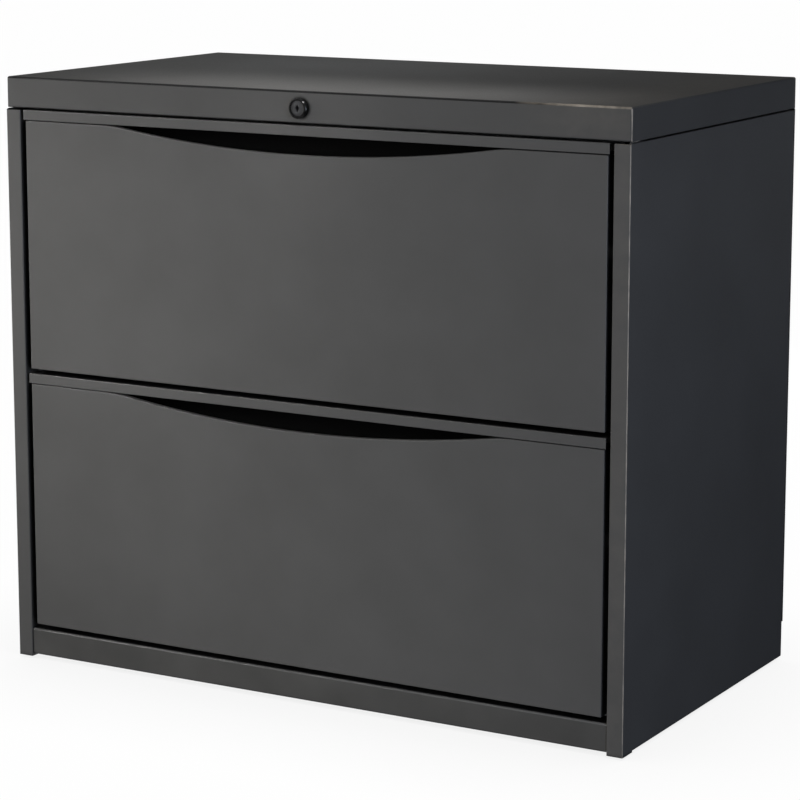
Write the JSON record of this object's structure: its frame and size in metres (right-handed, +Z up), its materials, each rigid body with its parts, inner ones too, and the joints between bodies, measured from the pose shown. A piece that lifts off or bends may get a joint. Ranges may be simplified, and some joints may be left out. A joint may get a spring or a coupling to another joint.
{
  "type": "lateral filing cabinet",
  "caption": "Steel lateral file with stacked full-width drawers on ball-bearing slides, arched pulls, a central cam lock with a lock bar, and leveling glides.",
  "frame": {"origin": "middle of the floor that the cabinet covers, at the underside of the glides", "axes": "+X to the right of someone facing the drawers, +Y from the drawers to the back, +Z up"},
  "size_m": [0.82, 0.4614, 0.714],
  "materials": {
    "paint": "charcoal powder coat, satin",
    "zinc": "zinc plated",
    "lock_black": "gloss black",
    "lock_plug": "dark grey metal",
    "foot": "moulded"
  },
  "bodies": {
    "case": {"top_cover": "paint", "top_front_header": "zinc", "top_rear_header": "zinc", "left_side_panel": "paint", "right_side_panel": "paint", "back_panel": "paint", "base_front_rail": "paint", "base_rear_rail": "paint", "left_base_channel": "zinc", "right_base_channel": "zinc", "left_front_upright": "zinc", "left_rear_upright": "zinc", "right_front_upright": "zinc", "right_rear_upright": "zinc", "lock_housing": "lock_black", "lock_nut": "zinc", "lower_left_outer_slide": "zinc", "lower_right_outer_slide": "zinc", "upper_left_outer_slide": "zinc", "upper_right_outer_slide": "zinc"},
    "front_left_foot": {"front_left_glide": "foot"},
    "front_right_foot": {"front_right_glide": "foot"},
    "rear_left_foot": {"rear_left_glide": "foot"},
    "rear_right_foot": {"rear_right_glide": "foot"},
    "lock_core": {"lock_plug": "lock_plug", "lock_cam": "zinc"},
    "cross_link": {"lock_link": "zinc"},
    "locking_bar": {"lock_bar": "zinc"},
    "lower_drawer": {"lower_drawer_front": "paint", "lower_pull_cap": "paint", "lower_inner_front": "paint", "lower_tray": "paint", "lower_drawer_back": "paint", "lower_front_hang_rail": "zinc", "lower_rear_hang_rail": "zinc", "lower_left_inner_slide": "zinc", "lower_right_inner_slide": "zinc"},
    "lower_middle_slides": {"lower_left_middle_slide": "zinc", "lower_right_middle_slide": "zinc"},
    "lower_outer_cages": {"lower_left_outer_cage": "zinc", "lower_right_outer_cage": "zinc"},
    "lower_inner_cages": {"lower_left_inner_cage": "zinc", "lower_right_inner_cage": "zinc"},
    "upper_drawer": {"upper_drawer_front": "paint", "upper_pull_cap": "paint", "upper_inner_front": "paint", "upper_tray": "paint", "upper_drawer_back": "paint", "upper_front_hang_rail": "zinc", "upper_rear_hang_rail": "zinc", "upper_left_inner_slide": "zinc", "upper_right_inner_slide": "zinc"},
    "upper_middle_slides": {"upper_left_middle_slide": "zinc", "upper_right_middle_slide": "zinc"},
    "upper_outer_cages": {"upper_left_outer_cage": "zinc", "upper_right_outer_cage": "zinc"},
    "upper_inner_cages": {"upper_left_inner_cage": "zinc", "upper_right_inner_cage": "zinc"}
  },
  "joints": [
    {"name": "lower_drawer_slide", "type": "slide", "parent": "case", "child": "lower_drawer", "axis": [0, -1, 0], "range_m": [0, 0.39]},
    {"name": "lower_middle_travel", "type": "slide", "parent": "case", "child": "lower_middle_slides", "axis": [0, -1, 0], "range_m": [0, 0.195]},
    {"name": "lower_outer_cage_travel", "type": "slide", "parent": "case", "child": "lower_outer_cages", "axis": [0, -1, 0], "range_m": [0, 0.0975]},
    {"name": "lower_inner_cage_travel", "type": "slide", "parent": "case", "child": "lower_inner_cages", "axis": [0, -1, 0], "range_m": [0, 0.2925]},
    {"name": "upper_drawer_slide", "type": "slide", "parent": "case", "child": "upper_drawer", "axis": [0, -1, 0], "range_m": [0, 0.39]},
    {"name": "upper_middle_travel", "type": "slide", "parent": "case", "child": "upper_middle_slides", "axis": [0, -1, 0], "range_m": [0, 0.195]},
    {"name": "upper_outer_cage_travel", "type": "slide", "parent": "case", "child": "upper_outer_cages", "axis": [0, -1, 0], "range_m": [0, 0.0975]},
    {"name": "upper_inner_cage_travel", "type": "slide", "parent": "case", "child": "upper_inner_cages", "axis": [0, -1, 0], "range_m": [0, 0.2925]},
    {"name": "lock_turn", "type": "hinge", "parent": "case", "child": "lock_core", "pos_m": [0, -0.21, 0.6946], "axis": [0, 1, 0], "range_deg": [0, 90]},
    {"name": "cross_link_travel", "type": "slide", "parent": "case", "child": "cross_link", "axis": [-1, 0, 0], "range_m": [0, 0.01]},
    {"name": "locking_bar_travel", "type": "slide", "parent": "case", "child": "locking_bar", "axis": [0, 0, 1], "range_m": [0, 0.01]},
    {"name": "front_left_foot_turn", "type": "hinge", "parent": "case", "child": "front_left_foot", "pos_m": [-0.372, -0.17625, 0.02], "axis": [0, 0, 1], "continuous": true},
    {"name": "front_right_foot_turn", "type": "hinge", "parent": "case", "child": "front_right_foot", "pos_m": [0.372, -0.17625, 0.02], "axis": [0, 0, 1], "continuous": true},
    {"name": "rear_left_foot_turn", "type": "hinge", "parent": "case", "child": "rear_left_foot", "pos_m": [-0.372, 0.19175, 0.02], "axis": [0, 0, 1], "continuous": true},
    {"name": "rear_right_foot_turn", "type": "hinge", "parent": "case", "child": "rear_right_foot", "pos_m": [0.372, 0.19175, 0.02], "axis": [0, 0, 1], "continuous": true}
  ],
  "couplings": [
    {"joint": "lower_middle_travel", "follows": "lower_drawer_slide", "ratio": 0.5},
    {"joint": "lower_outer_cage_travel", "follows": "lower_drawer_slide", "ratio": 0.25},
    {"joint": "lower_inner_cage_travel", "follows": "lower_drawer_slide", "ratio": 0.75},
    {"joint": "upper_middle_travel", "follows": "upper_drawer_slide", "ratio": 0.5},
    {"joint": "upper_outer_cage_travel", "follows": "upper_drawer_slide", "ratio": 0.25},
    {"joint": "upper_inner_cage_travel", "follows": "upper_drawer_slide", "ratio": 0.75},
    {"joint": "cross_link_travel", "follows": "locking_bar_travel", "ratio": 1},
    {"joint": "lock_turn", "follows": "locking_bar_travel", "rad_per_m": 157.08}
  ]
}
